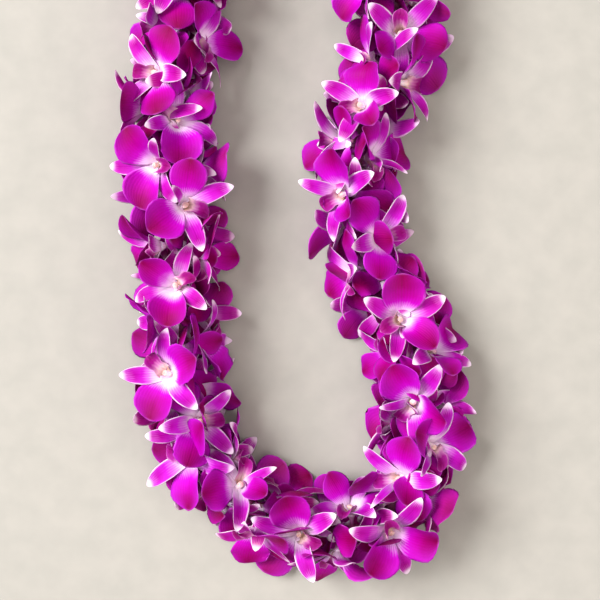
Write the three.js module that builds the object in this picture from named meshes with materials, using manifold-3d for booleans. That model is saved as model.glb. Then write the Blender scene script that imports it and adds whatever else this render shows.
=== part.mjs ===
// Fresh orchid lei: dendrobium blooms threaded through their necks on one knotted cotton string,
// laid down as a loop. Millimetres, +Z up. The origin is under the middle of the loop, on the
// surface that the lei lies on; +Y runs along the loop, away from its rounded low end.
//
// Each bloom is one closed body: a neck, a column and six blades, which are three narrow sepals,
// two broad petals and a lip. Two blooms that follow each other on the string press neck to neck,
// so they are one mesh with the piece of the core that they make round the string.

import * as THREE from "three";
import { mergeVertices } from "three/addons/utils/BufferGeometryUtils.js";
import Module from "manifold-3d";

// ---------------------------------------------------------------------------- driving dimensions

const BLOOMS = 96; // threaded one behind the other
const BLOOMS_PER_NODE = 2;
const STRING_HEIGHT = 22; // of the string above the surface
const STRING_RADIUS = 0.9;
const STRING_SIDES = 5;
const CORE_RADIUS = 4.6; // of the pressed necks round the string
const CORE_HOLE_RADIUS = 1.3; // leaves the string 0.3 mm clear all round
const CORE_END_GAP = 0.2; // from each end of a core piece to the joint with the next
const KNOT_RADIUS = 1.9;
const KNOT_ROOM = 2.4; // half of the gap between the cores where the knot sits

const BLADE_THICKNESS = 0.7;
const BLADE_GAP = 0.35; // kept between blades of different nodes
const REST_DEPTH = 0.05; // pressed flat where a blade lies on the surface
const HUB_RADIUS = 3.4; // ring where the blades leave the bloom's neck
const HUB_THICKNESS = 1.0;
const COLUMN_HEIGHT = 5.5; // above the hub
const NECK_ROOT = 2.0; // distance of the neck's root from the string's axis

// How a bloom is set on the string, in degrees and millimetres.
const AROUND_STEP = 140; // turn round the string from one bloom to the next
const AROUND_SPREAD = 13;
const LEAN_SPREAD = 15; // lean along the string
const STATION_SPREAD = 1.2;
const FACE_HEIGHT = 11; // of the hub above the string
const FACE_STEP = 1.8; // between four levels, so that neighbours lie over each other
const FACE_LEVELS = [0, 2, 1, 3];
const SIZE_SPREAD = 0.07;

// One blade: where it points round the bloom's face, its length and width, and how it opens from
// the bloom's axis, at its root and at its tip. rows are the shares of its length where its
// outline has corners, with the share of its width there.
const SEPAL = { length: 31, width: 12.5, opens: [48, 92], rows: [[0.5, 1]] };
const PETAL = { length: 30.5, width: 26, opens: [47, 88], rows: [[0.4, 0.72], [0.76, 0.97]] };
const LIP = { length: 17, width: 10, opens: [26, 70], rows: [[0.6, 1]] };
const BLADES = [
  { form: SEPAL, azimuth: 0 },
  { form: PETAL, azimuth: 66 },
  { form: SEPAL, azimuth: 130 },
  { form: LIP, azimuth: 180 },
  { form: SEPAL, azimuth: 230 },
  { form: PETAL, azimuth: 294 },
];
const WIDEST_FIRST = [1, 5, 0, 2, 4, 3];
const HUB_CORNERS = [-25.5, 25.5, 105.5, 152, 208, 254.5]; // between the blades, in degrees
const OPEN_SPREAD = 9;
const LENGTH_SPREAD = 0.07;
const TWIST_SPREAD = 26; // of a blade about its own rib, at its tip
const STAYS_ON_EDGE = 0.5; // share of its slope that a blade keeps where it lies on the surface
const SPINE_STEPS = 24;

// A blade that meets a neighbour is bent by the first of these that clears it: degrees more open,
// degrees round the face, and layers above the surface.
const BENDS = [
  [0, 0, 0], [-7, 0, 0], [7, 0, 0], [0, 6, 1], [0, -6, 1], [-7, 7, 0], [-7, -7, 0], [7, 7, 1],
  [7, -7, 1], [-14, 0, 1], [14, 0, 1], [-14, 8, 2], [-14, -8, 2], [-22, 0, 2], [22, 0, 2],
  [-22, 8, 1], [-22, -8, 1], [-30, 0, 3], [30, 0, 3], [-38, 0, 1], [-30, 8, 2], [-30, -8, 2],
  [22, 8, 3], [22, -8, 3], [-46, 0, 2], [38, 0, 3], [-38, 8, 3], [-38, -8, 3], [38, 8, 2],
  [38, -8, 2], [-54, 0, 1], [46, 0, 3],
];
const NARROWS_BY = 95; // a blade bent this many degrees towards the axis would cup to nothing
const FINEST = 0.05; // edges shorter than this are closed up
const LEAST_CROSSING = 0.0001; // cubic millimetres
const SEED = 20261;

// The string's route, seen from above: a narrow U, closed round its far end.
const ROUTE = [
  [-80, 210], [-86, 175], [-90, 137], [-90, 98], [-85, 63], [-81, 28], [-82, -7],
  [-83, -39], [-80, -70], [-71, -101], [-53, -127], [-26, -146], [4, -158], [31, -162],
  [56, -151], [72, -130], [80, -102], [85, -74], [78, -42], [65, -8], [50, 25],
  [39, 60], [39, 98], [50, 137], [64, 172], [66, 207], [59, 242], [42, 272],
  [15, 290], [-14, 295], [-42, 287], [-63, 266], [-75, 239],
];

// ---------------------------------------------------------------------------- small helpers

const UP = new THREE.Vector3(0, 0, 1);
const turn = THREE.MathUtils.degToRad;
const at = (origin, ...steps) => {
  const point = origin.clone();
  for (const [direction, length] of steps) point.addScaledVector(direction, length);
  return point;
};

// The Park-Miller generator: a number from -1 to 1 at each call, the same in every run.
let seed = SEED;
function spread() {
  seed = (seed * 16807) % 2147483647;
  return (2 * seed) / 2147483647 - 1;
}

// ---------------------------------------------------------------------------- the string's route

const route = new THREE.CatmullRomCurve3(
  ROUTE.map(([x, y]) => new THREE.Vector3(x, y, STRING_HEIGHT)),
  true,
  "catmullrom",
  0.5,
);
route.arcLengthDivisions = 1600;
const PITCH = route.getLength() / BLOOMS;
const NODES = BLOOMS / BLOOMS_PER_NODE;

function station(length) {
  const share = (((length / route.getLength()) % 1) + 1) % 1;
  const tangent = route.getTangentAt(share);
  return { point: route.getPointAt(share), tangent, side: UP.clone().cross(tangent) };
}

// Joints between neighbouring core pieces, half a pitch before each node's first bloom.
const joints = Array.from({ length: NODES }, (_, n) => station((n * BLOOMS_PER_NODE - 0.5) * PITCH));

function ringRound({ point, tangent, side }, radius, along = 0) {
  return Array.from({ length: STRING_SIDES }, (_, i) => {
    const angle = (2 * Math.PI * i) / STRING_SIDES;
    return at(point, [tangent, along], [side, radius * Math.cos(angle)], [UP, radius * Math.sin(angle)]);
  });
}

// ---------------------------------------------------------------------------- solids

const wasm = await Module();
wasm.setup();

// A closed solid from triangles given as triples of points.
function solid(triangles) {
  const geometry = new THREE.BufferGeometry().setFromPoints(triangles.flat());
  const merged = mergeVertices(geometry, 1e-4);
  return new wasm.Manifold(
    new wasm.Mesh({
      numProp: 3,
      vertProperties: merged.attributes.position.array,
      triVerts: new Uint32Array(merged.index.array),
    }),
  );
}

// Triangles between two loops of points, split along the same diagonal all round.
function band(from, to) {
  return from.flatMap((a, i) => {
    const next = (i + 1) % from.length;
    return [[a, from[next], to[next]], [a, to[next], to[i]]];
  });
}

const reversed = (triangles) => triangles.map(([a, b, c]) => [a, c, b]);

function coreTriangles(n, radius, holeRadius) {
  const [start, end] = [joints[n], joints[(n + 1) % NODES]];
  const startGap = n === 0 ? KNOT_ROOM : CORE_END_GAP;
  const endGap = n === NODES - 1 ? KNOT_ROOM : CORE_END_GAP;
  const outer = [ringRound(start, radius, startGap), ringRound(end, radius, -endGap)];
  if (!holeRadius) return band(...outer);
  const inner = [ringRound(start, holeRadius, startGap), ringRound(end, holeRadius, -endGap)];
  return [
    ...band(...outer),
    ...reversed(band(...inner)),
    ...band(inner[0], outer[0]),
    ...band(outer[1], inner[1]),
  ];
}

// ---------------------------------------------------------------------------- one bloom

// Where bloom i sits and how it is turned: its place on the string, its axis, and the two
// directions across its face.
function placeBloom(i) {
  const { point, tangent, side } = station(i * PITCH + STATION_SPREAD * spread());
  const around = turn(AROUND_STEP * i + AROUND_SPREAD * spread());
  const lean = turn(LEAN_SPREAD * spread());
  const out = at(new THREE.Vector3(), [UP, Math.cos(around)], [side, Math.sin(around)]);
  const axis = at(new THREE.Vector3(), [out, Math.cos(lean)], [tangent, Math.sin(lean)]);
  const roll = Math.PI * spread();
  const across = axis.clone().cross(tangent).normalize();
  const along = across.clone().cross(axis);
  const size = 1 + SIZE_SPREAD * spread();
  return {
    index: i,
    point,
    axis,
    dorsal: at(new THREE.Vector3(), [along, Math.cos(roll)], [across, Math.sin(roll)]),
    lateral: at(new THREE.Vector3(), [along, -Math.sin(roll)], [across, Math.cos(roll)]),
    size,
    face: FACE_HEIGHT + FACE_STEP * FACE_LEVELS[i % FACE_LEVELS.length],
    blades: BLADES.map(({ form, azimuth }) => ({
      form,
      azimuth,
      open: OPEN_SPREAD * spread(),
      length: form.length * size * (1 + LENGTH_SPREAD * spread()),
      twist: turn(TWIST_SPREAD * spread()),
    })),
  };
}

const faceDirection = (bloom, degrees) =>
  at(new THREE.Vector3(), [bloom.dorsal, Math.cos(turn(degrees))], [bloom.lateral, Math.sin(turn(degrees))]);

function hubCorners(bloom, margin) {
  return HUB_CORNERS.map((degrees) => {
    const radial = faceDirection(bloom, degrees);
    const foot = at(bloom.point, [bloom.axis, bloom.face], [radial, HUB_RADIUS + margin]);
    return [1, -1].map((sign) => at(foot, [bloom.axis, sign * (HUB_THICKNESS / 2 + margin)]));
  });
}

// The rows of a blade's outline. The rib leaves the hub at the blade's opening angle and bends
// outwards along its length. Where the blade would pass through the surface, its rib runs along
// it instead, high enough for the blade's lower edge.
function bladeRows(bloom, blade, [moreOpen, yaw, layer], margin) {
  const radial = faceDirection(bloom, blade.azimuth + yaw);
  const across = bloom.axis.clone().cross(radial);
  const cupped = 1 + Math.min(0, moreOpen) / NARROWS_BY;
  const halfWidth = (blade.form.width * bloom.size * cupped) / 2;
  const lowest = BLADE_THICKNESS / 2 - REST_DEPTH + layer * (BLADE_THICKNESS + BLADE_GAP);
  const edgeRoom = STAYS_ON_EDGE * Math.abs(across.z) * halfWidth;
  const rib = at(bloom.point, [bloom.axis, bloom.face], [radial, HUB_RADIUS]);
  const step = blade.length / SPINE_STEPS;
  const shares = [...blade.form.rows, [1, 0]];
  const rows = [];
  let lastWidth = across;
  let lastHeading = radial;
  for (let j = 1; j <= SPINE_STEPS; j++) {
    const share = (j - 0.5) / SPINE_STEPS;
    const [rootAngle, tipAngle] = blade.form.opens;
    const open = turn(rootAngle + (tipAngle - rootAngle) * share + blade.open + moreOpen);
    const heading = at(new THREE.Vector3(), [radial, Math.sin(open)], [bloom.axis, Math.cos(open)]);
    const floor = lowest + edgeRoom * Math.sin(Math.PI * share);
    const lies = rib.z + heading.z * step < floor;
    if (lies) {
      heading.addScaledVector(lastHeading, 3);
      heading.z = THREE.MathUtils.clamp((floor - rib.z) / step, -0.9, 0.9);
      const flat = Math.sqrt(1 - heading.z ** 2) / (Math.hypot(heading.x, heading.y) || 1);
      heading.x *= flat;
      heading.y *= flat;
    }
    lastHeading = heading;
    rib.addScaledVector(heading, step);
    while (shares.length && j / SPINE_STEPS > shares[0][0] - 0.5 / SPINE_STEPS) {
      const [along, wide] = shares.shift();
      const width = across.clone().applyAxisAngle(heading, blade.twist * along);
      if (lies) width.z *= STAYS_ON_EDGE;
      if (width.dot(lastWidth) < 0.7) width.add(lastWidth);
      width.addScaledVector(heading, -width.dot(heading)).normalize();
      lastWidth = width;
      const normal = heading.clone().cross(width).normalize();
      const half = wide ? halfWidth * wide + margin : 0;
      const centre = wide ? rib : at(rib, [heading, margin]);
      rows.push({ centre: centre.clone(), width, normal, half });
    }
  }
  return rows;
}

// A point of a blade's upper or under side.
const onBlade = ({ centre, width, normal, half }, hand, sign, thickness) =>
  at(centre, [width, hand * half], [normal, (sign * thickness) / 2]);

// Everything between two corners of the hub out to the blade's tip.
function bladeTriangles(left, right, rows, thickness) {
  let loop = [left[0], right[0], right[1], left[1]];
  const triangles = [];
  for (const row of rows.slice(0, -1)) {
    const next = [
      onBlade(row, -1, 1, thickness),
      onBlade(row, 1, 1, thickness),
      onBlade(row, 1, -1, thickness),
      onBlade(row, -1, -1, thickness),
    ];
    const [a, b, c, d] = loop;
    const [e, f, g, h] = next;
    triangles.push([a, f, b], [a, e, f], [d, c, g], [d, g, h], [b, g, c], [b, f, g], [d, e, a], [d, h, e]);
    loop = next;
  }
  const tip = rows[rows.length - 1];
  const [top, under] = [onBlade(tip, 0, 1, thickness), onBlade(tip, 0, -1, thickness)];
  const [a, b, c, d] = loop;
  triangles.push([a, top, b], [d, c, under], [b, under, c], [b, top, under], [d, top, a], [d, under, top]);
  return triangles;
}

// Blade k with its share of the bloom's hub, column and neck.
function bladeShell(bloom, k, bend, margin) {
  const corners = hubCorners(bloom, margin);
  const [left, right] = [corners[k], corners[(k + 1) % corners.length]];
  const columnTip = at(bloom.point, [bloom.axis, bloom.face + COLUMN_HEIGHT + 2 * margin]);
  const root = at(bloom.point, [bloom.axis, NECK_ROOT - 2 * margin]);
  const rows = bladeRows(bloom, bloom.blades[k], bend, margin);
  return [
    [columnTip, left[0], right[0]],
    [root, right[1], left[1]],
    [root, left[1], columnTip],
    [columnTip, left[1], left[0]],
    [columnTip, right[1], root],
    [columnTip, right[0], right[1]],
    ...bladeTriangles(left, right, rows, BLADE_THICKNESS + 2 * margin),
  ];
}

// ---------------------------------------------------------------------------- bending blades clear

// The middle surface of a blade, as triangles, with the points that are tested on it.
function sheetOf(bloom, blade, bend) {
  const half = HUB_RADIUS * Math.sin(turn(24));
  const radial = faceDirection(bloom, blade.azimuth);
  const across = bloom.axis.clone().cross(radial);
  const foot = at(bloom.point, [bloom.axis, bloom.face], [radial, HUB_RADIUS]);
  const rows = bladeRows(bloom, blade, bend, BLADE_GAP);
  const edgeOf = (row, hand) => at(row.centre, [row.width, hand * row.half]);
  const pairs = rows.map((row) => [edgeOf(row, -1), edgeOf(row, 1)]);
  pairs.unshift([at(foot, [across, -half]), at(foot, [across, half])]);
  const triangles = [];
  const points = [];
  for (let j = 1; j < pairs.length; j++) {
    const [[a, b], [c, d]] = [pairs[j - 1], pairs[j]];
    triangles.push([a, b, d]);
    if (j < pairs.length - 1) triangles.push([a, d, c]);
    const middle = (p, q) => p.clone().add(q).multiplyScalar(0.5);
    points.push(c, d, middle(c, d), middle(a, c), middle(b, d), middle(middle(a, d), middle(b, c)));
  }
  return withSphere({ triangles, points });
}

function withSphere(sheet) {
  const corners = sheet.triangles.flat();
  const sphere = new THREE.Box3().setFromPoints(corners).getBoundingSphere(new THREE.Sphere());
  const shapes = sheet.triangles.map(([a, b, c]) => new THREE.Triangle(a, b, c));
  return { ...sheet, sphere, shapes };
}

const nearest = new THREE.Vector3();
const ray = new THREE.Ray();

function crosses(shapes, others) {
  return shapes.some((shape) =>
    [[shape.a, shape.b], [shape.b, shape.c], [shape.c, shape.a]].some(([from, to]) => {
      ray.origin.copy(from);
      ray.direction.copy(to).sub(from);
      const length = ray.direction.length();
      ray.direction.divideScalar(length);
      return others.some((other) => {
        const hit = ray.intersectTriangle(other.a, other.b, other.c, false, nearest);
        return hit && hit.distanceTo(from) < length;
      });
    }),
  );
}

// Whether a shell passes through itself, between triangles that share no corner.
function foldsThrough(shell) {
  return shell.some((triangle) => {
    const apart = shell.filter((other) => !other.some((corner) => triangle.includes(corner)));
    return crosses([new THREE.Triangle(...triangle)], apart.map((other) => new THREE.Triangle(...other)));
  });
}

const close = (points, shapes, gap) =>
  points.some((p) => shapes.some((shape) => shape.closestPointToPoint(p, nearest).distanceTo(p) < gap));

function meets(sheet, other) {
  const gap = BLADE_THICKNESS + BLADE_GAP;
  if (sheet.sphere.center.distanceTo(other.sphere.center) > sheet.sphere.radius + other.sphere.radius + gap)
    return false;
  return (
    close(sheet.points, other.shapes, gap) ||
    close(other.points, sheet.shapes, gap) ||
    crosses(sheet.shapes, other.shapes) ||
    crosses(other.shapes, sheet.shapes)
  );
}

function hubSheet(bloom) {
  const corners = hubCorners(bloom, BLADE_GAP);
  const columnTip = at(bloom.point, [bloom.axis, bloom.face + COLUMN_HEIGHT]);
  const triangles = corners.map((left, k) => [columnTip, left[0], corners[(k + 1) % corners.length][0]]);
  return { ...withSphere({ triangles, points: [columnTip] }), owner: bloom.index };
}

// Blooms are set in the order they are threaded, and each blade is bent clear of those before it.
function arrangeBlooms() {
  const blooms = Array.from({ length: BLOOMS }, (_, i) => placeBloom(i));
  const cores = joints.map((_, n) => withSphere({ triangles: coreTriangles(n, CORE_RADIUS), points: [] }));
  const hubs = blooms.map(hubSheet);
  const placed = [];
  for (const bloom of blooms) {
    const around = [...cores, ...hubs.filter((hub) => hub.owner !== bloom.index), ...placed];
    for (const k of WIDEST_FIRST) {
      const blade = bloom.blades[k];
      const own = bloom.blades.filter((other) => other.made);
      let fewest = Infinity;
      for (const bend of BENDS) {
        const sheet = sheetOf(bloom, blade, bend);
        let met = around.filter((other) => meets(sheet, other)).length;
        if (met >= fewest) continue;
        const shell = bladeShell(bloom, k, bend, 0);
        const made = solid(shell);
        met += foldsThrough(shell) ? 100 : 0;
        met += 10 * own.filter((other) => made.intersect(other.made).volume() > LEAST_CROSSING).length;
        if (met >= fewest) continue;
        fewest = met;
        Object.assign(blade, { bend, sheet, made, met });
        if (!met) break;
      }
    }
    placed.push(...bloom.blades.map((blade) => blade.sheet));
  }
  return blooms;
}

// ---------------------------------------------------------------------------- nodes

const largest = (made) => made.decompose().sort((a, b) => b.volume() - a.volume())[0];

function nodeSolid(blooms, n, margin = 0) {
  const pair = blooms.slice(n * BLOOMS_PER_NODE, (n + 1) * BLOOMS_PER_NODE);
  const joinedBlades = (bloom) =>
    wasm.Manifold.union(bloom.blades.map((blade, k) => solid(bladeShell(bloom, k, blade.bend, margin))));
  const core = solid(coreTriangles(n, CORE_RADIUS + margin, CORE_HOLE_RADIUS));
  return pair.map(joinedBlades).reduce((made, bloom) => made.add(bloom), core);
}

// Nothing passes through the surface that the lei lies on, and where a blade still reaches into
// an earlier node, it gives way. A scrap that this cuts off is dropped.
function trimmed(blooms) {
  const solids = [];
  for (let n = 0; n < NODES; n++) {
    let made = nodeSolid(blooms, n).trimByPlane([0, 0, 1], 0);
    solids.forEach((earlier, m) => {
      if (made.intersect(earlier).volume() > 0) made = made.subtract(nodeSolid(blooms, m, BLADE_GAP));
    });
    solids.push(largest(made.simplify(FINEST)));
  }
  return solids;
}

function stringSolid() {
  const rings = joints.map((joint) => ringRound(joint, STRING_RADIUS));
  const tube = solid(rings.flatMap((ring, n) => band(ring, rings[(n + 1) % NODES])));
  const knot = new THREE.IcosahedronGeometry(KNOT_RADIUS, 0);
  const corners = knot.getAttribute("position");
  const points = Array.from({ length: corners.count }, (_, i) =>
    new THREE.Vector3().fromBufferAttribute(corners, i).add(joints[0].point),
  );
  const triangles = [];
  for (let i = 0; i < points.length; i += 3) triangles.push(points.slice(i, i + 3));
  return tube.add(solid(triangles));
}

// The corners that share an edge with each corner, and the corner itself.
function joinedCorners(points, triangles) {
  const joined = points.map(() => new Set());
  triangles.forEach((corners) => corners.forEach((a) => corners.forEach((b) => joined[a].add(b))));
  return joined;
}

// Closes up the shortest edges that joining and trimming leave, one at a time.
function withoutShortEdges(points, triangles) {
  const joined = joinedCorners(points, triangles);
  const short = triangles
    .flatMap(([a, b, c]) => [[a, b], [b, c], [c, a]])
    .find(([a, b]) => {
      const shared = [...joined[a]].filter((other) => joined[b].has(other));
      return points[a].distanceTo(points[b]) < FINEST && shared.length === 4;
    });
  if (!short) return triangles;
  const kept = (corner) => (corner === short[1] ? short[0] : corner);
  const moved = triangles.map((corners) => corners.map(kept));
  return withoutShortEdges(points, moved.filter((corners) => new Set(corners).size === 3));
}

// Draws a corner that only touches another one back into its own surface.
function separateCorners(points, triangles) {
  const joined = joinedCorners(points, triangles);
  const used = points.map((_, i) => i).filter((i) => joined[i].size);
  used.forEach((i, order) => {
    if (!used.slice(0, order).some((j) => points[i].distanceTo(points[j]) < FINEST / 10)) return;
    const middle = new THREE.Vector3();
    joined[i].forEach((j) => middle.addScaledVector(points[j], 1 / joined[i].size));
    const inwards = middle.sub(points[i]);
    points[i].add(inwards.setLength(FINEST));
  });
}

function meshOf(name, made, material) {
  const { vertProperties, triVerts } = made.getMesh();
  const points = Array.from({ length: vertProperties.length / 3 }, (_, i) =>
    new THREE.Vector3().fromArray(vertProperties, 3 * i),
  );
  const cornersOf = (i) => [...triVerts.subarray(3 * i, 3 * i + 3)];
  const triangles = Array.from({ length: triVerts.length / 3 }, (_, i) => cornersOf(i));
  const closed = withoutShortEdges(points, triangles);
  separateCorners(points, closed);
  const geometry = new THREE.BufferGeometry().setFromPoints(points);
  geometry.setIndex(closed.flat());
  geometry.computeVertexNormals();
  const mesh = new THREE.Mesh(geometry, material);
  mesh.name = name;
  return mesh;
}

const petalTissue = new THREE.MeshStandardMaterial({ color: "#b8159a", roughness: 0.5, metalness: 0 });
const cotton = new THREE.MeshStandardMaterial({ color: "#efe9dc", roughness: 0.9, metalness: 0 });

const blooms = arrangeBlooms();
const solids = trimmed(blooms);

const lei = new THREE.Group();
lei.add(meshOf("string", stringSolid(), cotton));
solids.forEach((made, n) => {
  const name = `bloom_pair_${String(n + 1).padStart(2, "0")}`;
  lei.add(meshOf(name, made, petalTissue));
});

const box = new THREE.Box3().setFromObject(lei);
lei.position.set(-(box.min.x + box.max.x) / 2, -(box.min.y + box.max.y) / 2, 0);

export default lei;
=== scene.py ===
# %% [markdown]
# # A fresh orchid lei
# A double orchid lei is a string of whole dendrobium blooms. A needle passes through the neck of
# each bloom, one behind the other, and the string is knotted into a loop. This lesson dresses the
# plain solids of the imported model, the frame, with curved petals and a twisted cotton string.
# The frame is loaded first, because every piece takes its place from it.

# %% Load the frame
import math

import bpy
import numpy as np
from mathutils.bvhtree import BVHTree
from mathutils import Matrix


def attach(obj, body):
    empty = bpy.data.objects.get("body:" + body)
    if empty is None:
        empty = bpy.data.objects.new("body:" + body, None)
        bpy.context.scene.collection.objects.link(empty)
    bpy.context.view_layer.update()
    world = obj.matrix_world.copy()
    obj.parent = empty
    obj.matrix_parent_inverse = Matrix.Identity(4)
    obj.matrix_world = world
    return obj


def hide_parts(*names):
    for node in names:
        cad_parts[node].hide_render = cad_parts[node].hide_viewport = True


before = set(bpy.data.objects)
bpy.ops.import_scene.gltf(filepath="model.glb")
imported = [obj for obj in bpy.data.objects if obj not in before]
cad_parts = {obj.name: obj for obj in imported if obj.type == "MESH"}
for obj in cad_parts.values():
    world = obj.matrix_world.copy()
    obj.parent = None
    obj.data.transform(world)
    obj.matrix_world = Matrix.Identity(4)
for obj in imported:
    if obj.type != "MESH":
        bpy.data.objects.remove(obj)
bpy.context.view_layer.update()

# %% [markdown]
# ## The rule that the blooms follow
# The blooms are not placed by eye. The frame was grown from a rule: a bloom every 11 mm of string,
# each a fixed turn round it further than the last, with a seeded scatter. The same rule, with the
# same numbers in millimetres, gives every open petal its rib here, so it follows its solid's rib.

# %% The lei's dimensions, in millimetres and degrees
BLOOMS = 96
BLOOMS_PER_NODE = 2
STRING_HEIGHT = 22
STRING_RADIUS, STRING_SIDES = 0.9, 5
BLADE_THICKNESS = 0.7
BLADE_GAP = 0.35
REST_DEPTH = 0.05
HUB_RADIUS = 3.4
CORE_RADIUS = 4.6
KNOT_ROOM = 2.4
AROUND_STEP, AROUND_SPREAD = 140, 13
LEAN_SPREAD = 15
STATION_SPREAD = 1.2
FACE_HEIGHT, FACE_STEP, FACE_LEVELS = 11, 1.8, (0, 2, 1, 3)
SIZE_SPREAD = 0.07
OPEN_SPREAD, LENGTH_SPREAD, TWIST_SPREAD = 9, 0.07, 26
STAYS_ON_EDGE = 0.5  # share of its slope that a blade keeps where it lies on the surface
SPINE_STEPS = 24
NARROWS_BY = 95  # a blade bent this far towards the axis would cup to nothing
SEED = 20261

ROUTE = [
    (-80, 210), (-86, 175), (-90, 137), (-90, 98), (-85, 63), (-81, 28), (-82, -7),
    (-83, -39), (-80, -70), (-71, -101), (-53, -127), (-26, -146), (4, -158), (31, -162),
    (56, -151), (72, -130), (80, -102), (85, -74), (78, -42), (65, -8), (50, 25),
    (39, 60), (39, 98), (50, 137), (64, 172), (66, 207), (59, 242), (42, 272),
    (15, 290), (-14, 295), (-42, 287), (-63, 266), (-75, 239),
]

# %% One bloom's blades
# Each has a length, a width, how it opens at its root and tip, and where the frame's solid has
# its corners. The azimuth is where it points round the bloom's face.
SEPAL = {"kind": "sepal", "length": 31, "width": 12.5, "opens": (48, 92), "corners": [(0.5, 1)]}
PETAL = {"kind": "petal", "length": 30.5, "width": 26, "opens": (47, 88),
         "corners": [(0.4, 0.72), (0.76, 0.97)]}
LIP = {"kind": "lip", "length": 17, "width": 10, "opens": (26, 70), "corners": [(0.6, 1)]}
BLADES = [(SEPAL, 0), (PETAL, 66), (SEPAL, 130), (LIP, 180), (SEPAL, 230), (PETAL, 294)]

# The ways in which a blade may be bent clear of its neighbours: degrees more open, degrees round
# the face, and layers above the surface.
BENDS = np.array([
    (0, 0, 0), (-7, 0, 0), (7, 0, 0), (0, 6, 1), (0, -6, 1), (-7, 7, 0), (-7, -7, 0), (7, 7, 1),
    (7, -7, 1), (-14, 0, 1), (14, 0, 1), (-14, 8, 2), (-14, -8, 2), (-22, 0, 2), (22, 0, 2),
    (-22, 8, 1), (-22, -8, 1), (-30, 0, 3), (30, 0, 3), (-38, 0, 1), (-30, 8, 2), (-30, -8, 2),
    (22, 8, 3), (22, -8, 3), (-46, 0, 2), (38, 0, 3), (-38, 8, 3), (-38, -8, 3), (38, 8, 2),
    (38, -8, 2), (-54, 0, 1), (46, 0, 3),
], dtype=float)
print(len(BLADES), "blades to a bloom,", len(BENDS), "ways to bend one")

# %% [markdown]
# ## The string's route
# A Catmull-Rom curve runs through every point that it is given, which suits a loop that is laid
# down from listed points. Blooms sit at equal steps along it, so the curve's parameter is first
# turned into true length with a table of short chords.

# %% A closed curve through the route's points
UP = np.array([0.0, 0.0, 1.0])
corners = np.array([(x, y, STRING_HEIGHT) for x, y in ROUTE], dtype=float)


def on_route(t):
    """The point at parameter t, from 0 to 1 round the loop."""
    place = t * len(corners)
    i = math.floor(place)
    w = place - i
    a, b, c, d = (corners[(i + k) % len(corners)] for k in (-1, 0, 1, 2))
    leave, arrive = 0.5 * (c - a), 0.5 * (d - b)
    square = 3 * (c - b) - 2 * leave - arrive
    cube = 2 * (b - c) + leave + arrive
    return b + leave * w + square * w**2 + cube * w**3


CHORDS = 1600
NUDGE = 0.0001  # of the parameter, to each side, for the string's direction
parameters = np.linspace(0, 1, CHORDS + 1)
chords = np.linalg.norm(np.diff([on_route(t) for t in parameters], axis=0), axis=1)
lengths = np.concatenate([[0], np.cumsum(chords)])
PITCH = lengths[-1] / BLOOMS


def station(length):
    """The point, the direction and the sideways direction of the string after a length of it."""
    t = float(np.interp(length % lengths[-1], lengths, parameters))
    ahead = on_route(min(t + NUDGE, 1)) - on_route(max(t - NUDGE, 0))
    tangent = ahead / np.linalg.norm(ahead)
    return on_route(t), tangent, np.cross(UP, tangent)


print(f"string {lengths[-1]:.0f} mm round, a bloom every {PITCH:.2f} mm")

# %% [markdown]
# ## Where each bloom sits
# A garland that repeated exactly would look stamped. The Park-Miller generator is a one-line
# source of scatter that gives the same numbers in every run and in every language.

# %% Place the blooms on the string
MULTIPLIER, MODULUS = 16807, 2147483647
scatter_state = SEED


def scatter():
    """The next number of the seeded scatter, from -1 to 1."""
    global scatter_state
    scatter_state = (scatter_state * MULTIPLIER) % MODULUS
    return 2 * scatter_state / MODULUS - 1


def posed(length, around, lean, roll):
    """A bloom's place and directions, from its length along the string and its angles."""
    point, tangent, side = station(length)
    around, lean = math.radians(around), math.radians(lean)
    out = UP * math.cos(around) + side * math.sin(around)
    axis = out * math.cos(lean) + tangent * math.sin(lean)
    across = np.cross(axis, tangent)
    across /= np.linalg.norm(across)
    along = np.cross(across, axis)
    return {
        "point": point,
        "axis": axis,
        "dorsal": along * math.cos(roll) + across * math.sin(roll),
        "lateral": across * math.cos(roll) - along * math.sin(roll),
    }


def place_bloom(i):
    bloom = posed(
        i * PITCH + STATION_SPREAD * scatter(),
        AROUND_STEP * i + AROUND_SPREAD * scatter(),
        LEAN_SPREAD * scatter(),
        math.pi * scatter(),
    )
    size = bloom["size"] = 1 + SIZE_SPREAD * scatter()
    bloom["face"] = FACE_HEIGHT + FACE_STEP * FACE_LEVELS[i % len(FACE_LEVELS)]
    bloom["blades"] = [
        {
            "form": form,
            "azimuth": azimuth,
            "open": OPEN_SPREAD * scatter(),
            "length": form["length"] * size * (1 + LENGTH_SPREAD * scatter()),
            "twist": math.radians(TWIST_SPREAD * scatter()),
        }
        for form, azimuth in BLADES
    ]
    return bloom


blooms = [place_bloom(i) for i in range(BLOOMS)]
print(len(blooms), "blooms; the first faces", np.round(blooms[0]["axis"], 2))

# %% [markdown]
# ## The rib of a blade
# A petal is easiest to think of as a rib with a width. The rib leaves the hub at one angle, bends
# outwards step by step, and runs along the surface where it would pass through it. Many possible
# bends are worked out at once, as rows of one array, which is far quicker than one by one.

# %% Follow a blade's rib from the hub to its tip


def dot(a, b):
    return np.sum(a * b, axis=-1, keepdims=True)


def unit(a):
    return a / np.linalg.norm(a, axis=-1, keepdims=True)


def turned(vectors, axes, angle):
    """Vectors turned round unit axes by one angle."""
    return (
        vectors * math.cos(angle)
        + np.cross(axes, vectors) * math.sin(angle)
        + axes * dot(axes, vectors) * (1 - math.cos(angle))
    )


LAGS = 3  # how strongly a blade on the surface keeps its last heading
STEEPEST = 0.9  # rise along a blade that lies on the surface
TURNS_TOO_FAR = 0.7  # least agreement between the width directions of two steps


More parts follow.
